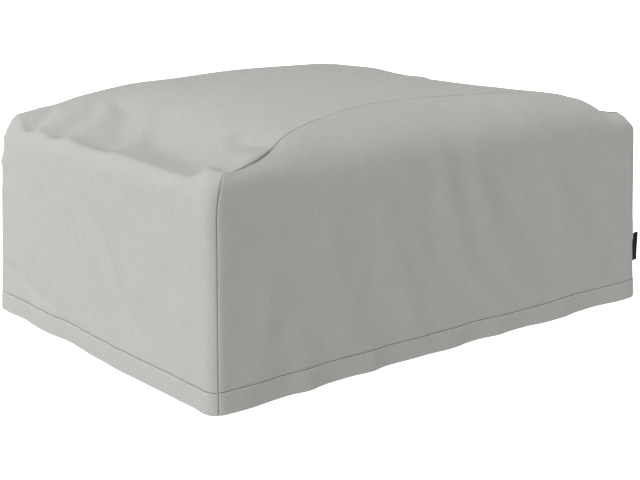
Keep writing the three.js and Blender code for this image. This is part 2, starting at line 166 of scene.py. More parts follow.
# The height of the top along its middle, and of the creases where it meets the short sides
TOP_MIDDLE = table("x height", [
    (-460, 335),
    (-425, 338),
    (-375, 354),
    (-310, 384),
    (-230, 407),
    (-130, 418),
    (0, 421),
    (120, 414),
    (215, 402),
    (290, 389),
    (350, 377),
    (400, 366),
    (435, 358),
    (460, 352),
])
LEFT_CREASE = table("y height", [
    (-330, 346),
    (-290, 341),
    (-245, 334),
    (-110, 337),
    (30, 335),
    (110, 338),
    (160, 335),
    (210, 339),
    (270, 336),
    (330, 350),
])
RIGHT_CREASE = table("y height", [
    (-330, 350),
    (-285, 345),
    (-230, 339),
    (-130, 343),
    (-50, 339),
    (40, 345),
    (130, 341),
    (220, 345),
    (280, 346),
    (330, 357),
])

# How far the hem waves out from each wall
FRONT_HEM = table("x out", [
    (-485, 0),
    (-440, 3.5),
    (-390, 0),
    (-345, -1.7),
    (-315, 2),
    (-278, -4),
    (-225, -3.5),
    (-185, -0.5),
    (-155, -6),
    (-105, -6),
    (-70, -5),
    (-30, -1.5),
    (5, -2.2),
    (30, -5.5),
    (60, -6),
    (100, 0),
    (125, -2.5),
    (180, -2.5),
    (215, 2.5),
    (275, 2.5),
    (305, -2.3),
    (370, -2),
    (430, 4),
    (485, 0),
])
BACK_HEM = table("x out", [
    (-485, 0),
    (-420, 3),
    (-360, -2),
    (-300, 1),
    (-220, -4),
    (-150, -1),
    (-60, -5),
    (20, -2),
    (90, -6),
    (160, -1),
    (240, -4),
    (310, 1),
    (370, -2),
    (430, 3),
    (485, 0),
])
LEFT_HEM = table("y out", [
    (-340, 0),
    (-300, -2),
    (-250, 0),
    (-170, 2),
    (-40, 2),
    (20, -1),
    (80, -3),
    (140, 2),
    (190, 2),
    (240, -2),
    (260, -2),
    (300, 1),
    (340, 1),
])
RIGHT_HEM = table("y out", [
    (-340, 0),
    (-270, -1),
    (-200, 2),
    (-120, -3),
    (-40, -1),
    (50, -4),
    (130, 1),
    (210, -2),
    (280, 2),
    (340, 0),
])

# Folds. Each is a soft ridge, or a trough where rise is negative. It runs along one direction from
# start to end, and in the other direction its middle line goes through from, second, third and to,
# a third of the way apart. Its width goes from narrow at its start to wide at its end, and lean
# makes one flank steeper than the other.
FOLD_COLUMNS = "start end from second third to narrow wide rise lean"
FOLD_FADE = 0.16  # share of its length over which a fold comes up at each end

FRONT_FOLDS = table(FOLD_COLUMNS, [  # down the wall: along Z, across X
    (335, 30, -37, -11, 28, 150, 22, 36, 4.4, 0.0),
    (325, 30, 41, 66, 112, 205, 22, 36, 4.4, 0.0),
    (320, 50, 206, 250, 290, 358, 24, 62, 4.3, 0.1),
    (230, 130, 362, 385, 418, 455, 18, 24, 1.8, 0.0),
    (290, 30, -165, -140, -110, -80, 24, 28, 2.3, 0.2),
    (270, 50, -238, -265, -232, -246, 26, 24, 1.6, 0.0),
    (190, 25, -382, -390, -394, -384, 22, 26, 1.8, 0.0),
    (300, 30, -68, -56, -26, 46, 24, 26, -1.5, 0.0),
    (280, 35, 100, 146, 222, 300, 22, 34, -3.2, 0.0),
    (240, 100, 304, 340, 385, 425, 20, 24, -2.2, 0.0),
    (235, 30, -188, -184, -174, -140, 24, 24, -1.4, 0.0),
    (125, 80, -355, -358, -360, -362, 20, 20, -1.2, 0.0),
    (95, 25, -290, -287, -284, -280, 28, 28, -1.6, 0.0),
])
BACK_FOLDS = table(FOLD_COLUMNS, [
    (320, 60, 60, 50, 18, -30, 14, 36, 5, 0),
    (300, 70, -130, -150, -190, -250, 16, 34, 5, 0),
    (270, 90, 230, 236, 230, 215, 24, 30, 3, 0),
    (260, 120, -345, -372, -400, -420, 18, 22, 4, 0),
])
LEFT_FOLDS = table(FOLD_COLUMNS, [  # down the wall: along Z, across Y
    (235, 50, 76, 58, 24, -25, 15, 24, -4, 0),
    (235, 80, -22, -44, -82, -135, 15, 24, -4, 0),
    (95, 50, 310, 265, 212, 150, 40, 45, -3, 0),
    (322, 240, 322, 320, 318, 316, 34, 34, -6, 0),
])
RIGHT_FOLDS = table(FOLD_COLUMNS, [
    (250, 60, -60, -42, -10, 40, 18, 28, -4, 0),
    (260, 90, 90, 108, 142, 190, 16, 26, -4, 0),
    (240, 130, -240, -254, -271, -290, 20, 22, 3, 0),
])
SLOPE_FOLDS = table(FOLD_COLUMNS, [  # up the slopes behind the creases: along X, across Y
    (-454, -395, 256, 262, 274, 290, 15, 20, -5, 0),
    (-470, -345, 210, 210, 214, 232, 20, 26, 4, 0),
    (-450, -345, 158, 176, 184, 210, 18, 26, -5, 0),
    (-470, -340, 96, 116, 140, 176, 24, 28, 4, 0),
    (-440, -325, 25, 36, 80, 142, 34, 40, -9, 0),
    (-465, -330, -46, -32, 10, 70, 24, 34, 4, 0),
    (-475, -345, -306, -262, -220, -196, 18, 28, 10, 0.4),
    (455, 375, -262, -256, -250, -244, 24, 34, -11, 0),
    (470, 360, -194, -170, -138, -104, 22, 30, 4, 0),
    (450, 340, -120, -98, -72, -50, 32, 40, -8, 0),
    (470, 350, 6, -4, -10, -16, 22, 32, 4, 0),
    (450, 355, 78, 74, 62, 40, 26, 34, -7, 0),
    (470, 365, 150, 152, 146, 130, 20, 28, 4, 0),
    (455, 370, 206, 214, 226, 240, 22, 28, -6, 0),
])
HOLLOW_FOLDS = table(FOLD_COLUMNS, [  # along the hollow behind the left crease: along Y, across X
    (20, -270, -352, -382, -394, -412, 34, 32, -13, 0),
    (-240, -316, -420, -424, -426, -428, 20, 20, -3, 0),
    (-210, -286, -344, -348, -350, -354, 22, 22, -6, 0),
])

# What differs between the short sides on the left, at -1, and the right
WALLS = {
    -1: (LEFT_CREASE, LEFT_TURN, LEFT_FOLDS, LEFT_HEM),
    1: (RIGHT_CREASE, RIGHT_TURN, RIGHT_FOLDS, RIGHT_HEM),
}

# ---------------------------------------------------------------- curves and folds


def lerp(a, b, share):
    return a + (b - a) * share


def smoothstep(value, low, high):
    """0 up to low, 1 from high on, and a soft step between them."""
    t = np.clip((value - low) / (high - low), 0, 1)
    return t * t * (3 - 2 * t)


def curve(rows, key, column, at):
    """A smooth curve through a table's rows, level past its ends."""
    x, y = rows[key], rows[column]
    before = np.maximum(np.arange(len(x)) - 1, 0)
    after = np.minimum(np.arange(len(x)) + 1, len(x) - 1)
    slope = (y[after] - y[before]) / (x[after] - x[before])
    i = np.clip(np.searchsorted(x, at) - 1, 0, len(x) - 2)
    span = x[i + 1] - x[i]
    s = np.clip((at - x[i]) / span, 0, 1)
    level = lerp(y[i], y[i + 1], s * s * (3 - 2 * s))
    return level + s * (1 - s) * span * ((1 - s) * slope[i] - s * slope[i + 1])


def round_off(distance, radius):
    """How far a square edge is rounded back at a distance from that edge."""
    reach = np.maximum(radius - distance, 0)
    return radius - np.sqrt(np.maximum(radius * radius - reach * reach, 0))


def fold_lift(folds, along, across):
    """The sum of a table's folds. A fold's middle line is the cubic through its four points."""
    lift = 0.0
    for start, end, first, second, third, last, narrow, wide, rise, lean in zip(*folds.values()):
        t = np.clip((along - start) / (end - start), -FOLD_FADE, 1 + FOLD_FADE)
        fade = smoothstep(t, -FOLD_FADE, FOLD_FADE) * smoothstep(1 - t, -FOLD_FADE, FOLD_FADE)
        ends = (1 - 3 * t) * (2 - 3 * t) * (first * (1 - t) + last * t) / 2
        thirds = 9 / 2 * t * (1 - t) * (second * (2 - 3 * t) + third * (3 * t - 1))
        offset = across - ends - thirds
        offset = offset / (lerp(narrow, wide, np.clip(t, 0, 1)) * (1 - lean * np.sign(offset)))
        lift = lift + rise * fade * np.exp(-offset * offset)
    return lift


NOISE_CELLS = 64  # before the hills repeat


def soft_noise(x, y, cell_x, cell_y, seed):
    """Smooth random hills from -1 to 1 on a grid of cells."""
    values = np.random.RandomState(seed).uniform(-1, 1, (NOISE_CELLS, NOISE_CELLS))
    u, v = x / cell_x, y / cell_y
    i, j = np.floor(u).astype(int), np.floor(v).astype(int)
    s, t = u - i, v - j
    s, t = s * s * (3 - 2 * s), t * t * (3 - 2 * t)

    def at(column, row):
        return values[column % NOISE_CELLS, row % NOISE_CELLS]

    low = lerp(at(i, j), at(i + 1, j), s)
    high = lerp(at(i, j + 1), at(i + 1, j + 1), s)
    return lerp(low, high, t)


def half_length(z, end):
    """From the middle to a short wall: the left one where end is negative, else the right one."""
    return np.where(end < 0, LEFT_END - LEAN * z, RIGHT_END - RIGHT_LEAN * z)


def half_depth(z):
    """From the middle to a long wall."""
    return DEPTH / 2 - LEAN * z


# ---------------------------------------------------------------- mesh stations

# Heights of the rows across the hem, closer together at its stitches
HEM_ROWS = [0, 0.7, 2, 6, 12, 18, 24, 29, 31.5, 32.7, 33.3, 33.7, 34, 34.4, 35, 35.9, 37.2, 39.5, 43]
STITCH_ROW = HEM_ROWS.index(HEM_HEIGHT)
WALL_STEPS = 52
ROLL_STEPS = 16
SEAM_STATIONS = [0, 0.25, 0.6, 1.1, 1.8, 2.7, 3.8, 5.2, 7, 9.5, 13, 18]  # distances from a seam
LENGTH_STEPS = 170  # even steps along the top, between its seams' stations
DEPTH_STEPS = 109


def wall_rows():
    """Rows from the hem up the wall and over the turn at its top: each one's own height, how far
    it has gone from there to the top of the wall, and its angle round the turn."""
    wall = np.arange(1, WALL_STEPS + 1) / WALL_STEPS
    turn = np.arange(1, ROLL_STEPS + 1) / ROLL_STEPS * math.pi / 2
    heights = [*HEM_ROWS, *[HEM_ROWS[-1]] * (WALL_STEPS + ROLL_STEPS)]
    climbed = [*[0] * len(HEM_ROWS), *wall, *[1] * ROLL_STEPS]
    turned = [*[0] * (len(HEM_ROWS) + WALL_STEPS), *turn]
    return (np.array(values, float)[:, None] for values in (heights, climbed, turned))


def shares(steps, length):
    """Shares of a length: the seam's stations near both ends, and even steps between them."""
    near = np.array(SEAM_STATIONS) / length
    even = np.linspace(near[-1], 1 - near[-1], steps + 1)[1:-1]
    return np.concatenate([near, even, 1 - near[::-1]])


ROW_Z, ROW_SHARE, ROW_TURN = wall_rows()
COLUMNS = shares(LENGTH_STEPS, 2 * TOP_HALF)
ACROSS = shares(DEPTH_STEPS, DEPTH)


def wave_out(hem, key, at, z):
    """How far a hem's waves push its wall out."""
    return curve(hem, key, "out", at) * (1 - smoothstep(z, 0, WAVE_REACH))


def section_at(height, setback, roll, sharp):
    """A panel's form under one line of the seam's table, or under an array of them, one for each
    column. Returns every row's height, its inset from the wall, and how far out and how far up it
    faces."""
    turned = np.sin(ROW_TURN)
    z = lerp(ROW_Z, height - roll, ROW_SHARE) + roll * turned
    slope = setback * sharp * turned ** (sharp - 1) / roll
    out = 1 / np.sqrt(1 + slope * slope)
    return z, setback * turned ** sharp, out, slope * out


# ---------------------------------------------------------------- the outside, as grids of points


def panel_grid(side, seam, ears, folds, hem):
    """A long panel's outside: rows up the wall by columns along X."""
    top_x = lerp(-TOP_HALF, TOP_HALF, COLUMNS)
    z, inset, out, up = section_at(*(curve(seam, "x", column, top_x) for column in SEAM_COLUMNS))
    edge_z = z[:, [0, -1]]
    ear, dent, dent_height, dent_width = ears
    reach = half_length(edge_z, ENDS) - SEAM_IN
    reach = reach - ear * (1 - np.cos(ROW_TURN))
    reach = reach - dent * np.exp(-(((edge_z - dent_height) / dent_width) ** 2))
    x = lerp(-reach[:, :1], reach[:, 1:], COLUMNS)
    corner = round_off(half_length(z, x) - abs(x), CORNER_RADIUS)
    lift = fold_lift(folds, z, x) + wave_out(hem, "x", x, z)
    y = half_depth(z) - inset - corner + lift * out
    return np.stack([x, side * y, z + lift * up], -1)


def crown_height(x, y, end_x):
    """The top's height before folds, with its creases at end_x: a crown through the two seams'
    heights and the middle's, drawn to the creases' own heights near them."""
    s = np.clip(y / np.where(y < 0, FRONT_LINE, BACK_LINE), -CROWN_LIMIT, CROWN_LIMIT)

    def crown_at(at):
        front = curve(FRONT_SEAM, "x", "height", at) * (s * s - s) / 2
        middle = curve(TOP_MIDDLE, "x", "height", at) * (1 - s * s)
        back = curve(BACK_SEAM, "x", "height", at) * (s * s + s) / 2
        return front + middle + back

    left, right = (curve(rows, "y", "height", y) for rows in (LEFT_CREASE, RIGHT_CREASE))
    crease = np.where(x < 0, left, right)
    inward = end_x - abs(x)
    carried = 1 - smoothstep(inward, 0, CREASE_REACH)
    level = inward * np.exp(-((inward / CREASE_FLAT) ** 2))
    rise = crown_at(x + np.sign(x) * level)
    return rise + carried * (crease - crown_at(np.sign(x) * end_x))


def strip_wall(end, y):
    """A short wall's form, and the turn at its top. y has a row of distances from the middle for
    each of the wall's rows."""
    crease, (turn_in, turn_down), folds, hem = WALLS[end]
    out, up = np.cos(ROW_TURN), np.sin(ROW_TURN)
    z = lerp(ROW_Z, curve(crease, "y", "height", y) - turn_down, ROW_SHARE) + turn_down * up
    corner = round_off(half_depth(z) - abs(y), CORNER_RADIUS)
    lift = fold_lift(folds, z, y) + wave_out(hem, "y", y, z)
    x = half_length(z, end) - turn_in * (1 - out) - corner + lift * out
    slope = fold_lift(SLOPE_FOLDS, end * x, y) + fold_lift(HOLLOW_FOLDS, y, end * x)
    return np.stack([end * x, y + 0 * x, z + (lift + slope) * up], -1)


def strip_top(y):
    """The top's form between the creases, with a row of distances y for each of its own rows."""
    left = half_length(curve(LEFT_CREASE, "y", "height", y), -1) - LEFT_TURN[0]
    right = half_length(curve(RIGHT_CREASE, "y", "height", y), 1) - RIGHT_TURN[0]
    x = lerp(-left, right, COLUMNS[1:-1, None])
    end_x = np.where(x < 0, left, right)
    lift = fold_lift(SLOPE_FOLDS, x, y) + fold_lift(HOLLOW_FOLDS, y, x)
    return np.stack([x, y + 0 * x, crown_height(x, y, end_x) + lift], -1)


def strip_form(y):
    """The strip's own form at its stations, from the left hem over the top to the right hem.
    y has a row for each station."""
    rows = len(ROW_Z)
    left = strip_wall(-1, y[:rows])
    right = strip_wall(1, y[-rows:][::-1])[::-1]
    return np.concatenate([left, strip_top(y[rows:-rows]), right])


def seam_of(panel):
    """The panel's edge where it meets the strip, at the strip's stations."""
    return np.concatenate([panel[:, 0], panel[-1, 1:-1], panel[::-1, -1]])


def strip_grid(front, back):
    """The strip's outside, drawn to the two panels' seams: stations by columns along Y."""
    front_seam, back_seam = seam_of(front), seam_of(back)
    y = lerp(front_seam[:, 1:2], back_seam[:, 1:2], ACROSS)
    grid = strip_form(y)
    near_front = 1 - smoothstep(y - y[:, :1], 0, EDGE_REACH)
    near_back = 1 - smoothstep(y[:, -1:] - y, 0, EDGE_REACH)
    to_front = front_seam - grid[:, 0]
    to_back = back_seam - grid[:, -1]
    drawn = to_front[:, None] * near_front[..., None] + to_back[:, None] * near_back[..., None]
    drawn[..., 1] = 0
    return grid + drawn


# ---------------------------------------------------------------- sheets of cloth

HEM_PROUD = 0.5  # how far the hem's second layer pushes its outside out
HEM_STEP = HEM_HEIGHT - 1  # where that starts to fade
HEM_FLUSH = HEM_HEIGHT + 3  # and where it ends
HEM_SINGLE = HEM_HEIGHT + 2  # the second layer itself ends here
HEM_EDGE = 1.2  # radius of the lower edge
HEM_WAVE, HEM_WAVE_LENGTH = 0.8, 45.0  # small waves along the hem
HEM_WAVE_TOP = 3 * HEM_HEIGHT  # where they have faded
DITCH_DEEP, DITCH_NARROW = 1.9, 1.1  # how deep the stitches' ditch is, and how soon it fades upwards
DITCH_DIP, DITCH_WIDE = 1.1, 3.8  # and the same of the soft dip over it
DITCH_BELOW = 0.8  # both fade this soon below the stitches
PUCKER_MEAN, PUCKER_SWING = 0.8, 0.4  # their depth is this share of itself, give or take the other
PUCKER_LENGTH = 13.0  # how soon that varies along the hem
UPRIGHT = 300.0  # noise with cells this tall hardly changes up the hem
UNEVEN = (0.7, 90, 130), (0.25, 28, 45)  # how high the cloth's hills are, how wide and how long
GROUND = 0.1  # points lower than this are a sheet's lower edge, which faces level


def unit(vectors):
    return vectors / np.maximum(np.linalg.norm(vectors, axis=-1, keepdims=True), 1e-9)


def steps_along(points, axis):
    """Differences between each point's neighbours along a grid's axis."""
    points = np.moveaxis(points, axis, 0)
    step = np.empty_like(points)
    step[1:-1] = points[2:] - points[:-2]
    step[0] = points[1] - points[0]
    step[-1] = points[-1] - points[-2]
    return np.moveaxis(step, 0, axis)


def grid_normals(points, turn):
    """The way that each point of a grid faces, level along its lower edge."""
    normals = unit(np.cross(steps_along(points, 1), steps_along(points, 0)) * turn)
    normals[points[..., 2] < GROUND, 2] = 0
    return unit(normals)


def run_along(points, axis):
    """Each point's distance over the cloth from the start of its line along a grid's axis."""
    line = np.moveaxis(points, axis, 0)
    step = np.linalg.norm(np.diff(line, axis=0), axis=-1)
    run = np.concatenate([np.zeros((1, *step.shape[1:])), np.cumsum(step, 0)])
    return np.moveaxis(run, 0, axis)


def flat_place(points):
    """Each point's place on the flat cloth, from its middle: across it, and down it."""
    across, down = run_along(points, 1), run_along(points, 0)
    return across - across[:, -1:] / 2, down - down[-1:] / 2


def hem_relief(z, run):
    """The outside of the hem: its stitches draw the cloth into a narrow ditch, with puckers."""
    above, below = np.maximum(z - HEM_HEIGHT, 0), np.maximum(HEM_HEIGHT - z, 0)
    narrow = np.exp(-above / DITCH_NARROW - below / DITCH_BELOW)
    wide = np.exp(-above / DITCH_WIDE - below / DITCH_BELOW)
    pucker = PUCKER_MEAN + PUCKER_SWING * soft_noise(run, z, PUCKER_LENGTH, UPRIGHT, seed=5)
    proud = HEM_PROUD * (1 - smoothstep(z, HEM_STEP, HEM_FLUSH))
    wave = HEM_WAVE * soft_noise(run, z, HEM_WAVE_LENGTH, UPRIGHT, seed=6)
    wave = wave * (1 - smoothstep(z, 0, HEM_WAVE_TOP))
    return proud + wave - (DITCH_DEEP * narrow + DITCH_DIP * wide) * pucker - round_off(z, HEM_EDGE)


def cloth_relief(across, down, seed):
    """Slight unevenness all over the cloth."""
    return sum(
        high * soft_noise(across, down, wide, long, seed + i)
        for i, (high, wide, long) in enumerate(UNEVEN)
    )


def part_seam(strip, panel, column, inner):
    """How a strip parts from a panel: the normals that they share along their seam, and half the
    gap between them as a step into the strip, both at the strip's stations."""
    seam = strip["points"][:, column]
    normal = unit(strip["normals"][:, column] + seam_of(panel["normals"]))
    aside = unit(np.cross(steps_along(seam, 0), normal))
    inward = strip["points"][:, inner] - seam
    facing = np.sign((aside * inward).sum(-1, keepdims=True))
    return normal, aside * facing * SEAM_GAP / 2


def put_seam(panel, key, values, add):
    """Writes values for the strip's stations to the panel's edge, or adds them to what is there."""
    rows, columns = panel[key].shape[:2]
    left, top, right = np.split(values, [rows, rows + columns - 2])
    for part, found in ((np.s_[:, 0], left), (np.s_[-1, 1:-1], top), (np.s_[::-1, -1], right)):
        panel[key][part] = panel[key][part] + found if add else found


def make_sheets():
    """The three sheets' outside points and base normals, parted at the seams. A sheet's turn is 1
    or -1, whichever makes its normals face out."""
    front = {"points": panel_grid(-1, FRONT_SEAM, FRONT_EARS, FRONT_FOLDS, FRONT_HEM), "turn": 1}
    back = {"points": panel_grid(1, BACK_SEAM, BACK_EARS, BACK_FOLDS, BACK_HEM), "turn": -1}
    strip = {"points": strip_grid(front["points"], back["points"]), "turn": -1}
    for sheet in (front, back, strip):
        sheet["normals"] = grid_normals(sheet["points"], sheet["turn"])
    for panel, column, inner in ((front, 0, 1), (back, -1, -2)):
        normal, aside = part_seam(strip, panel, column, inner)
        strip["normals"][:, column] = normal
        strip["points"][:, column] += aside
        put_seam(panel, "normals", normal, False)
        put_seam(panel, "points", -aside, True)
    return strip, front, back


def seam_relief(points, seam_distance, swells):
    """How far the cloth lies above its form beside a seam, and how far along Y it leans out over it.
    Both edges of a seam turn down into it, and the strip swells over it beside the ears."""
    x, y, z = np.moveaxis(points, -1, 0)
    on_top = smoothstep(z, *SEAM_LEVELS)

    def along_top(key):
        front, back = (curve(rows, "x", key, x) for rows in (FRONT_LIP, BACK_LIP))
        return on_top * np.where(y < 0, front, back)

    depth = along_top("depth") + LIP_RADIUS * (1 - on_top)
    round_up = 1 - round_off(seam_distance / SWELL_ROUND, 1)
    fade = 1 - smoothstep(seam_distance, SWELL_ROUND, SWELL_REACH)
    swell = swells * along_top("rise") * round_up * fade
    over = SWELL_OVER * swell * np.exp(-seam_distance / SWELL_LEAN)
    return swell - round_off(seam_distance, depth), over * np.sign(y)


def dress(sheet, seam_distance, swells, seed):
    """Adds the seam's edges, the hem and the cloth's unevenness, and maps the flat cloth."""
    points = sheet["points"]
    across, down = sheet["flat"] = flat_place(points)
    uneven = hem_relief(points[..., 2], across) + cloth_relief(across, down, seed)
    uneven = uneven * lerp(CALM_SHARE, 1, smoothstep(seam_distance, 0, CALM_REACH))
    beside_seam, over = seam_relief(points, seam_distance, swells)
    points = points + sheet["normals"] * (uneven + beside_seam)[..., None]
    points[..., 1] += over
    points[..., 2] = np.maximum(points[..., 2], 0)
    sheet["points"] = points
    sheet["normals"] = grid_normals(points, sheet["turn"])


def add_object(name, data):
    """A new object in the scene."""
    thing = bpy.data.objects.new(name, data)
    bpy.context.scene.collection.objects.link(thing)
    return thing


def sheet_faces(rows, columns):
    """The faces of a closed sheet whose vertices are a grid outside and the same grid inside."""
    at = np.arange(rows * columns).reshape(rows, columns)
    outer = np.stack([at[:-1, :-1], at[:-1, 1:], at[1:, 1:], at[1:, :-1]], -1).reshape(-1, 4)
    inner = outer[:, ::-1] + at.size
    ring = np.concatenate([at[0, :-1], at[:-1, -1], at[-1, :0:-1], at[:0:-1, 0]])
    after = np.roll(ring, -1)
    rim = np.stack([ring, ring + at.size, after + at.size, after], -1)
    return np.concatenate([outer, inner, rim])


def sheet_object(name, sheet, material):
    """A closed mesh of a sheet's outside and inside, with a map of the flat cloth in metres."""
    points = sheet["points"]
    single = smoothstep(points[..., 2], HEM_STEP, HEM_SINGLE)
    thickness = CLOTH * lerp(HEM_LAYERS, 1, single)
    inside = points - sheet["normals"] * thickness[..., None]
    vertices = np.concatenate([points.reshape(-1, 3), inside.reshape(-1, 3)]) * MM
    faces = sheet_faces(*points.shape[:2])
    if sheet["turn"] < 0:
        faces = faces[:, ::-1]
    mesh = bpy.data.meshes.new(name)
    mesh.from_pydata(vertices.tolist(), [], faces.tolist())
    flat = np.stack(sheet["flat"], -1).reshape(-1, 2) * MM
    corner = np.empty(len(mesh.loops), int)
    mesh.loops.foreach_get("vertex_index", corner)
    layer = mesh.uv_layers.new(name="flat_cloth")
    layer.uv.foreach_set("vector", flat[corner % len(flat)].astype(np.float32).ravel())
    mesh.shade_smooth()
    mesh.materials.append(material)
    return add_object(name, mesh)


STITCH_PITCH = 3.9
STITCH_LENGTH = 3.1
STITCH_RADIUS = 0.6
STITCH_TAPER = 0.6  # how much thinner a stitch is at its ends, as a share
STITCH_SINK = 0.9  # how far its ends go down into the cloth
STITCH_RINGS = 5
STITCH_SIDES = 6


def stitch_rings(path, normals):
    """The points of each stitch along a path on the cloth, as rings round its thread."""
    share = np.linspace(0, 1, STITCH_RINGS)
    from_middle = 2 * share - 1
    sink = STITCH_SINK * from_middle ** 4 - STITCH_RADIUS / 2
    girth = STITCH_RADIUS * (1 - STITCH_TAPER * from_middle ** 6)
    angle = np.arange(STITCH_SIDES)[:, None] / STITCH_SIDES * 2 * math.pi
    run = run_along(path, 0)
    starts = np.arange(STITCH_PITCH, run[-1] - STITCH_PITCH, STITCH_PITCH)
    at = starts[:, None] + share * STITCH_LENGTH
    place = np.stack([np.interp(at, run, path[:, k]) for k in range(3)], -1)
    out = unit(np.stack([np.interp(at, run, normals[:, k]) for k in range(3)], -1))
    aside = unit(np.cross(out, steps_along(place, 1)))
    place = place - out * sink[:, None]
    round_thread = out[:, :, None] * np.cos(angle) + aside[:, :, None] * np.sin(angle)
    return place[:, :, None] + round_thread * girth[:, None, None]


def stitches_object(name, lines, material):
    """A hem's stitches as one mesh. Each line is a path on the cloth and its normals."""
    points = np.concatenate([stitch_rings(path, normals) for path, normals in lines])
    at = np.arange(points.size // 3).reshape(points.shape[:3])
    after = np.roll(at, -1, 2)
    sides = np.stack([at[:, :-1], after[:, :-1], after[:, 1:], at[:, 1:]], -1).reshape(-1, 4)
    ends = np.concatenate([at[:, 0, ::-1], at[:, -1]])
    mesh = bpy.data.meshes.new(name)
    mesh.from_pydata((points.reshape(-1, 3) * MM).tolist(), [], sides.tolist() + ends.tolist())
    mesh.shade_smooth()
    mesh.materials.append(material)
    return add_object(name, mesh)


# ---------------------------------------------------------------- shader nodes


class Nodes:
    """A short way to write a node tree. Most calls add nodes and return the last one's output."""

    def __init__(self, tree):
        self.tree = tree

    def add(self, kind, inputs=(), output=0, **settings):
        node = self.tree.nodes.new(kind)
        for name, value in settings.items():
            setattr(node, name, value)
        for key, value in dict(inputs).items():
            self.put(node.inputs[key], value)
        return node.outputs[output]

    def put(self, socket, value):
        if isinstance(value, bpy.types.NodeSocket):
            self.tree.links.new(value, socket)
        else:
            socket.default_value = value

    def math(self, operation, *values):
        return self.add("ShaderNodeMath", enumerate(values), operation=operation)

    def parts(self, vector):
        """A vector's x, y and z."""
        return self.add("ShaderNodeSeparateXYZ", {0: vector}).node.outputs

    def noise(self, x, y, detail):
        """Noise over x and y, from 0 to 1, with cells of about 1."""
        place = self.add("ShaderNodeCombineXYZ", {0: x, 1: y})
        return self.add("ShaderNodeTexNoise", {"Vector": place, "Scale": 1.0, "Detail": detail})

    def around_zero(self, value, reach):
        """A value from 0 to 1, spread out to reach on either side of 0."""
        return self.add("ShaderNodeMapRange", {"Value": value, "To Min": -reach, "To Max": reach})

    def ripples(self, value, length):
        """A sine wave along a value in metres."""
        return self.math("SINE", self.math("MULTIPLY", value, 2 * math.pi / length))

    def bump(self, shader, height, distance):
        """Bumps in a shader's normal, distance deep for a height of 1."""
        inputs = {"Height": height, "Distance": distance, "Strength": 1.0}
        self.put(shader.inputs["Normal"], self.add("ShaderNodeBump", inputs))


def new_material(name, values):
    """A material, its nodes and its shader, whose own sockets get the values."""
    material = bpy.data.materials.new(name)
    material.use_nodes = True
    shader = material.node_tree.nodes["Principled BSDF"]
    for key, value in values.items():
        shader.inputs[key].default_value = value
    return material, Nodes(material.node_tree), shader


# ---------------------------------------------------------------- materials

LINEN = (0.520, 0.508, 0.486)
THREAD = 1.15  # from one thread of the weave to the next
THREAD_TONE = 0.09  # how much lighter or darker than the cloth a thread can be, as a share
SLUB = 14.0  # length of a lighter, darker or thicker stretch of thread
PATCHES = 22.0  # soft patches to a metre
PATCH_TONE = 0.05  # and how much lighter or darker they can be
WEAVE_DEEP = 0.12  # how deep the bumps of uneven threads are
WEAVE_SHARE = 0.25  # and, as a share of that, the bumps where the threads cross
THREAD_AND_SHADE_GREY = (0.07, 0.066, 0.06, 1)  # the sewing thread, dark grey: partly its own colour, partly painted shade of the ditch it lies in
TWIST, TWIST_DEEP = 320.0, 0.05  # how close and how deep its twist is
RIBBON_BLACK = (0.006, 0.006, 0.007, 1)
RIB, RIB_DEEP = 0.9, 0.1  # from one rib of the tag's ribbon to the next, and their depth


def linen():
    """Plain-woven grey linen. The pattern follows the flat cloth, whose map is in metres."""
    values = {"Roughness": 0.95, "Specular IOR Level": 0.15}
    material, nodes, shader = new_material("grey_linen", values)
    x, y, _ = nodes.parts(nodes.add("ShaderNodeUVMap", uv_map="flat_cloth"))
    per_thread, per_slub = 1 / (THREAD * MM), 1 / (SLUB * MM)

    def noise(across, down, detail):
        return nodes.noise(nodes.math("MULTIPLY", x, across), nodes.math("MULTIPLY", y, down), detail)

    warp = noise(per_thread, per_slub, 1.0)
    weft = noise(per_slub, per_thread, 1.0)
    patches = noise(PATCHES, PATCHES, 3.0)
    tone = nodes.math("ADD", *(nodes.around_zero(run, THREAD_TONE) for run in (warp, weft)))
    tone = nodes.math("ADD", tone, nodes.around_zero(patches, PATCH_TONE))
    tone = nodes.math("ADD", tone, 1.0)
    shade = nodes.add("ShaderNodeVectorMath", {0: LINEN, "Scale": tone}, operation="SCALE")
    nodes.put(shader.inputs["Base Color"], shade)
    weave = nodes.math("MULTIPLY", nodes.ripples(x, THREAD * MM), nodes.ripples(y, THREAD * MM))
    crossings = nodes.math("MULTIPLY", weave, WEAVE_SHARE)
    height = nodes.math("ADD", crossings, nodes.math("ADD", warp, weft))
    nodes.bump(shader, height, WEAVE_DEEP * MM)
    return material


def shaded_thread():
    """Sewing thread with its twist, darker than the cloth: partly its own grey, partly painted shade.
    """
    values = {"Base Color": THREAD_AND_SHADE_GREY, "Roughness": 0.8}
    material, nodes, shader = new_material("thread_and_painted_shade", values)
    place = nodes.add("ShaderNodeTexCoord", output="Object")
    inputs = {"Vector": place, "Scale": TWIST}
    twist = nodes.add("ShaderNodeTexWave", inputs, bands_direction="DIAGONAL")
    nodes.bump(shader, twist, TWIST_DEEP * MM)
    return material


def ribbon():
    """Black ribbon with fine ribs across it."""
    values = {"Base Color": RIBBON_BLACK, "Roughness": 0.6, "Specular IOR Level": 0.2}
    material, nodes, shader = new_material("black_ribbon", values)
    _, _, z = nodes.parts(nodes.add("ShaderNodeTexCoord", output="Object"))
    nodes.bump(shader, nodes.ripples(z, RIB * MM), RIB_DEEP * MM)
    return material


def white_floor():
    """White at least as bright as what the camera sees behind it, so that no horizon shows."""
    values = {
        "Base Color": (0.9, 0.9, 0.9, 1),
        "Emission Color": (1, 1, 1, 1),
        "Emission Strength": 1.0,
    }
    return new_material("white_floor", values)[0]


# ---------------------------------------------------------------- stage, in metres

FLOOR_SIZE = 60
FLOOR_DROP = 0.001  # clear of the cover's lower edge


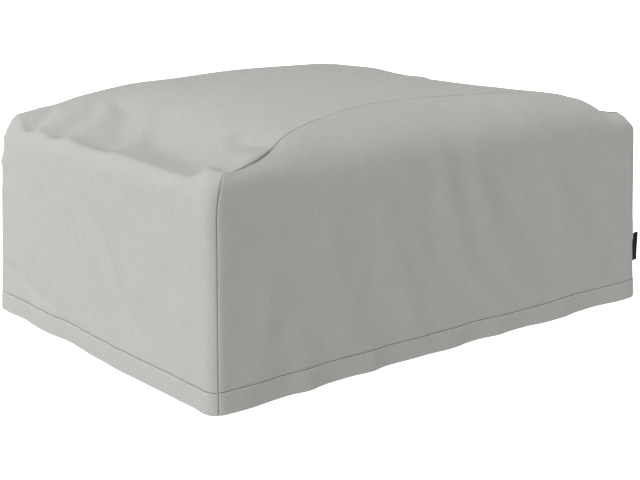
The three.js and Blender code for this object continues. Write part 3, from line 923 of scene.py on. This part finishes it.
def make_floor():
    """A white floor that only the camera sees."""
    bpy.ops.mesh.primitive_plane_add(size=FLOOR_SIZE, location=(0, 0, -FLOOR_DROP))
    floor = bpy.context.object
    floor.name = "floor"
    floor.data.materials.append(white_floor())
    floor.visible_diffuse = False
    floor.visible_glossy = False
    floor.visible_shadow = False


CAMERA_PLACE = (-1.42193, -1.73977, 0.68274)
CAMERA_TURN = math.radians(39.065)  # from +Y towards +X
CAMERA_TILT = math.radians(14.15)  # down
CAMERA_LENS = 70.31  # in millimetres, as is its sensor
SENSOR = 36.0


def make_camera():
    """The main view, from above and in front of the left front corner."""
    data = bpy.data.cameras.new("camera")
    data.lens = CAMERA_LENS
    data.sensor_width = SENSOR
    camera = add_object("camera", data)
    camera.location = CAMERA_PLACE
    camera.rotation_euler = (math.pi / 2 - CAMERA_TILT, 0, -CAMERA_TURN)
    bpy.context.scene.camera = camera


# The surround is three soft lobes of light: how strong each is, which way it lies, and how narrow
LIGHTS = (
    (4.79, (-0.382, -0.122, 0.916), 10.8),  # a broad lamp overhead
    (1.45, (0.0, 0.0, -1.0), 1.47),  # the white floor
    (2.37, (-0.955, 0.232, -0.183), 16.0),  # a low window on the left
)
# Two weak lamps near the cover shade its walls from end to end. For each: where it is, the point
# that it faces, its size and its watts.
LAMPS = {
    "lamp_front_right": ((1.15, -1.25, 0.45), (0.45, -0.35, 0.2), 0.9, 1.05),
    "lamp_back_left": ((-1.05, 0.72, 0.40), (-0.48, 0.25, 0.3), 0.5, 0.68),
}


def make_light():
    """Soft studio light as one smooth surround. The camera sees plain white instead."""
    world = bpy.data.worlds.new("studio")
    bpy.context.scene.world = world
    world.use_nodes = True
    nodes = Nodes(world.node_tree)
    way = nodes.add("ShaderNodeTexCoord", output="Generated")
    level = 0.0
    for strength, direction, focus in LIGHTS:
        inputs = {0: way, 1: direction}
        facing = nodes.add("ShaderNodeVectorMath", inputs, output="Value", operation="DOT_PRODUCT")
        falloff = nodes.math("MULTIPLY", nodes.math("SUBTRACT", facing, 1.0), focus)
        lobe = nodes.math("MULTIPLY", nodes.math("EXPONENT", falloff), strength)
        level = nodes.math("ADD", lobe, level)
    background = world.node_tree.nodes["Background"]
    nodes.put(background.inputs["Strength"], level)
    background.inputs["Color"].default_value = (1, 1, 1, 1)
    seen = nodes.add("ShaderNodeBackground", {"Color": (1, 1, 1, 1), "Strength": 1.0})
    is_camera = nodes.add("ShaderNodeLightPath", output="Is Camera Ray")
    shown = nodes.add("ShaderNodeMixShader", {0: is_camera, 1: background.outputs[0], 2: seen})
    nodes.put(world.node_tree.nodes["World Output"].inputs["Surface"], shown)


def make_lamps():
    """The two weak lamps, which the camera doesn't see."""
    for name, (place, aim, size, watts) in LAMPS.items():
        data = bpy.data.lights.new(name, "AREA")
        data.size = size
        data.energy = watts
        lamp = add_object(name, data)
        lamp.location = place
        lamp.rotation_euler = (Vector(aim) - Vector(place)).to_track_quat("-Z", "Y").to_euler()
        lamp.visible_camera = False


# ---------------------------------------------------------------- the tag

TAG_OUT = 18.0  # how far it stands out of the seam
TAG_HEIGHT = 54.0
TAG_BOTTOM = 68.0  # above the floor
TAG_LAYER = 0.7  # thickness of its ribbon
TAG_SPLIT = 0.6 * TAG_LAYER  # from the middle of the tag to the middle of either layer
TAG_ROOT = 1.4  # how far out it starts, clear of the cloth beside the seam
TAG_BEND = 1.2  # how far it bows aside
TAG_RIPPLE, TAG_RIPPLE_LENGTH = 0.3, 9.0  # it waves a little up its height too
TAG_TURN = math.radians(10)
TAG_IN = 0.6  # how far in along Y its seam lies there, as a share of the corner's rounding
TAG_STEPS = 24
TAG_FOLD_STEPS = 9


def tag_path():
    """The middle of the folded ribbon seen from above: out from the seam, round the fold and back."""
    straight = np.linspace(TAG_ROOT, TAG_OUT - TAG_SPLIT - TAG_LAYER / 2, TAG_STEPS)
    angle = np.linspace(-math.pi / 2, math.pi / 2, TAG_FOLD_STEPS)[1:-1]
    fold = np.stack([straight[-1] + TAG_SPLIT * np.cos(angle), TAG_SPLIT * np.sin(angle)], -1)
    front = np.stack([straight, np.full(TAG_STEPS, -TAG_SPLIT)], -1)
    back = np.stack([straight[::-1], np.full(TAG_STEPS, TAG_SPLIT)], -1)
    path = np.concatenate([front, fold, back])
    path[:, 1] += TAG_BEND * np.sin(path[:, 0] / TAG_OUT * math.pi)
    return path


def tag_mesh():
    """The folded ribbon as one closed band, drawn from level to level."""
    path = tag_path()
    aside = unit(steps_along(path, 0)[:, ::-1] * [1, -1]) * TAG_LAYER / 2
    ring = np.concatenate([path + aside, (path - aside)[::-1]])
    levels = np.linspace(0, TAG_HEIGHT, 2 * TAG_STEPS)
    points = np.empty((len(levels), len(ring), 3))
    points[..., :2] = ring
    points[..., 1] += TAG_RIPPLE * np.sin(levels / TAG_RIPPLE_LENGTH)[:, None]
    points[..., 2] = levels[:, None]
    at = np.arange(points.size // 3).reshape(points.shape[:2])
    after = np.roll(at, -1, 1)
    sides = np.stack([at[:-1], after[:-1], after[1:], at[1:]], -1).reshape(-1, 4)
    near, far = at[[0, -1], :len(path)], at[[0, -1], :len(path) - 1:-1]
    caps = np.stack([near[:, :-1], near[:, 1:], far[:, 1:], far[:, :-1]], -1)
    mesh = bpy.data.meshes.new("tag")
    faces = np.concatenate([sides, caps[0, :, ::-1], caps[1]])
    mesh.from_pydata((points.reshape(-1, 3) * MM).tolist(), [], faces.tolist())
    return mesh


def make_tag():
    """The black ribbon, folded over and bare, with its two ends at the seam."""
    mesh = tag_mesh()
    mesh.materials.append(ribbon())
    tag = add_object("tag", mesh)
    rounding = CORNER_RADIUS * (1 - math.sqrt(0.5))
    x = float(half_length(TAG_BOTTOM, 1)) - SEAM_IN
    y = TAG_IN * rounding - half_depth(TAG_BOTTOM)
    tag.location = (x * MM, y * MM, TAG_BOTTOM * MM)
    tag.rotation_euler = (0, math.atan(-RIGHT_LEAN), TAG_TURN)
    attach(tag, "root")
    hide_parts("label")


# ---------------------------------------------------------------- the whole cover


def distance_from_seams(points, is_strip):
    """Each point's distance over the cloth from the nearest seam. The strip's are along its sides,
    and a panel has one along its top as well."""
    run = run_along(points, 1)
    from_sides = np.minimum(run, run[:, -1:] - run)
    if is_strip:
        return from_sides
    return np.minimum(from_sides, run_along(points[::-1], 0)[::-1])


def make_cloth(name, node, sheet, cloth, thread_and_shade, seed):
    """One sheet of the cover and its stitches, in place of the frame's node."""
    is_strip = node == "main_strip"
    dress(sheet, distance_from_seams(sheet["points"], is_strip), is_strip, seed)
    piece = sheet_object(name, sheet, cloth)
    rows = (STITCH_ROW, -1 - STITCH_ROW) if is_strip else (STITCH_ROW,)
    lines = [(sheet["points"][row], sheet["normals"][row]) for row in rows]
    row_of_stitches = stitches_object(name.replace("cloth", "stitches"), lines, thread_and_shade)
    for thing in (piece, row_of_stitches):
        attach(thing, "root")
    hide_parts(node)


def main():
    """The whole cover on its stage."""
    strip, front, back = make_sheets()
    # The stitches' material is dark grey: the thread's own colour plus painted shade of the hem's ditch
    cloth, thread_and_shade = linen(), shaded_thread()
    make_cloth("strip_cloth", "main_strip", strip, cloth, thread_and_shade, seed=20)
    make_cloth("front_cloth", "front_panel", front, cloth, thread_and_shade, seed=40)
    make_cloth("back_cloth", "back_panel", back, cloth, thread_and_shade, seed=60)
    make_tag()
    make_floor()
    make_camera()
    make_light()
    make_lamps()
    bpy.context.scene.view_settings.view_transform = "Standard"


main()
